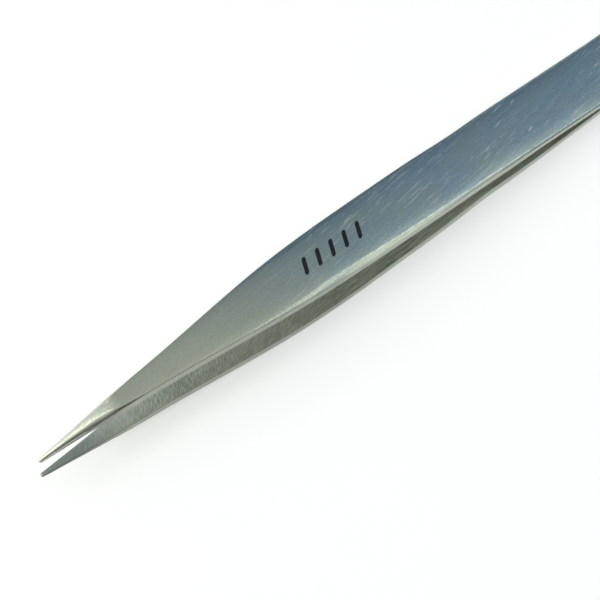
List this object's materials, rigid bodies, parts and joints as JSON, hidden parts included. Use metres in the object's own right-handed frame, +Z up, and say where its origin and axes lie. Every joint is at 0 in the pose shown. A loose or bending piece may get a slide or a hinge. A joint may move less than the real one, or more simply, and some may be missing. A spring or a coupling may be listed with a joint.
{
  "type": "precision tweezers",
  "caption": "Fine-tipped steel tweezers: two bowed spring arms welded at the heel, with needle points that meet when the arms are squeezed.",
  "frame": {"origin": "on the surface the tweezers lie on, under the centre of their box", "axes": "+X from the tips to the heel, +Y across the width, +Z up, the way the jaws open"},
  "size_m": [0.1201, 0.0098, 0.0109],
  "materials": {
    "arm_steel": "satin, brushed lengthwise",
    "weld_steel": "fused, dull",
    "mark_ink": "printed ink"
  },
  "bodies": {
    "heel": {"upper_heel": "arm_steel", "lower_heel": "arm_steel", "spot_welds": "weld_steel"},
    "upper_arm": {"upper_blade": "arm_steel"},
    "lower_arm": {"lower_blade": "arm_steel"}
  },
  "joints": [
    {"name": "upper_arm_flex", "type": "hinge", "parent": "heel", "child": "upper_arm", "pos_m": [0.03802, 0, 0.00354], "axis": [0, -1, 0], "range_deg": [0, 1.37], "stiffness_Nm_per_rad": 3.7},
    {"name": "lower_arm_flex", "type": "hinge", "parent": "heel", "child": "lower_arm", "pos_m": [0.03789, 0, 0.00105], "axis": [0, 1, 0], "range_deg": [0, 1.37], "stiffness_Nm_per_rad": 3.7}
  ]
}
